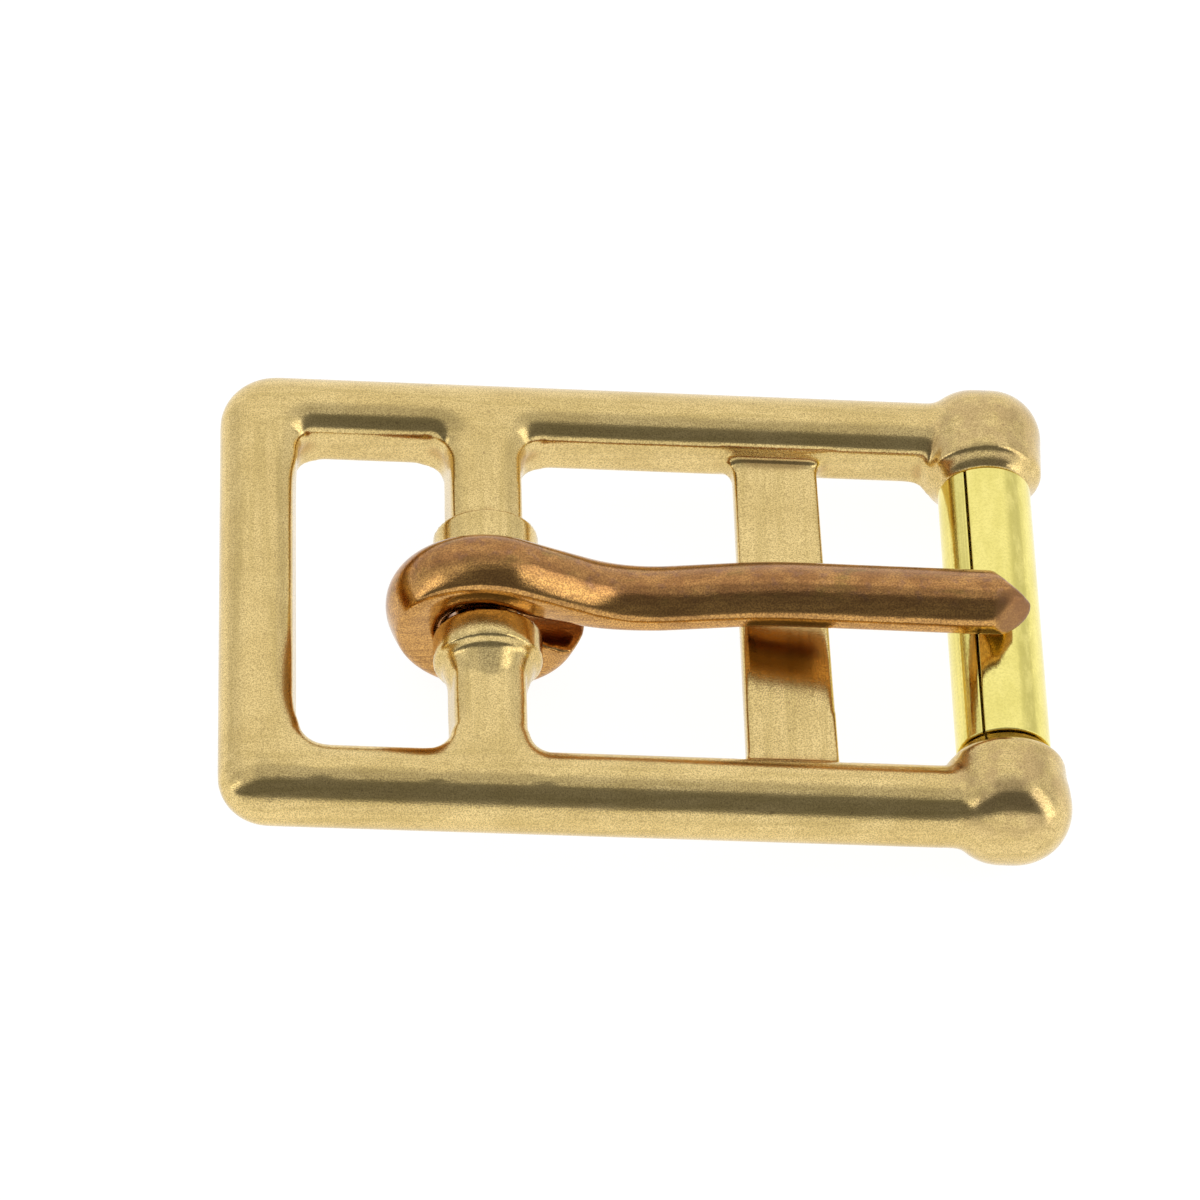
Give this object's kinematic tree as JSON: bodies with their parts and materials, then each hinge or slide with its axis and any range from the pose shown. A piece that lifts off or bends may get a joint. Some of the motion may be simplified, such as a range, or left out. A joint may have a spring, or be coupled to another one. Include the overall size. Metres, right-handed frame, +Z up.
{
  "type": "roller buckle",
  "caption": "Cast brass strap buckle with a bent rod tongue on a collared centre bar, a fixed flat keeper and a rolled tube that turns on the end bar.",
  "frame": {"origin": "on the table, under the middle of the outline of the buckle as it lies", "axes": "+X along the buckle from the plain end bar to the roller, +Y across the strap, +Z up from the table"},
  "size_m": [0.048, 0.0318, 0.0116],
  "materials": {
    "cast_brass": "cast and tumbled, satin, with fine grain",
    "polished_brass": "rolled sheet, polished, with fine lengthwise lines",
    "tarnished_bronze": "drawn rod, oxidised to copper brown, with rubbed golden highlights"
  },
  "bodies": {
    "frame": {"frame": "cast_brass"},
    "tongue": {"tongue": "tarnished_bronze"},
    "roller": {"roller": "polished_brass"}
  },
  "joints": [
    {"name": "tongue_hinge", "type": "hinge", "parent": "frame", "child": "tongue", "pos_m": [-0.00873, 0, 0.00583], "axis": [0, -1, 0], "range_deg": [0, 147]},
    {"name": "roller_spin", "type": "hinge", "parent": "frame", "child": "roller", "pos_m": [0.02049, 0, 0.00355], "axis": [0, 1, 0], "continuous": true}
  ]
}
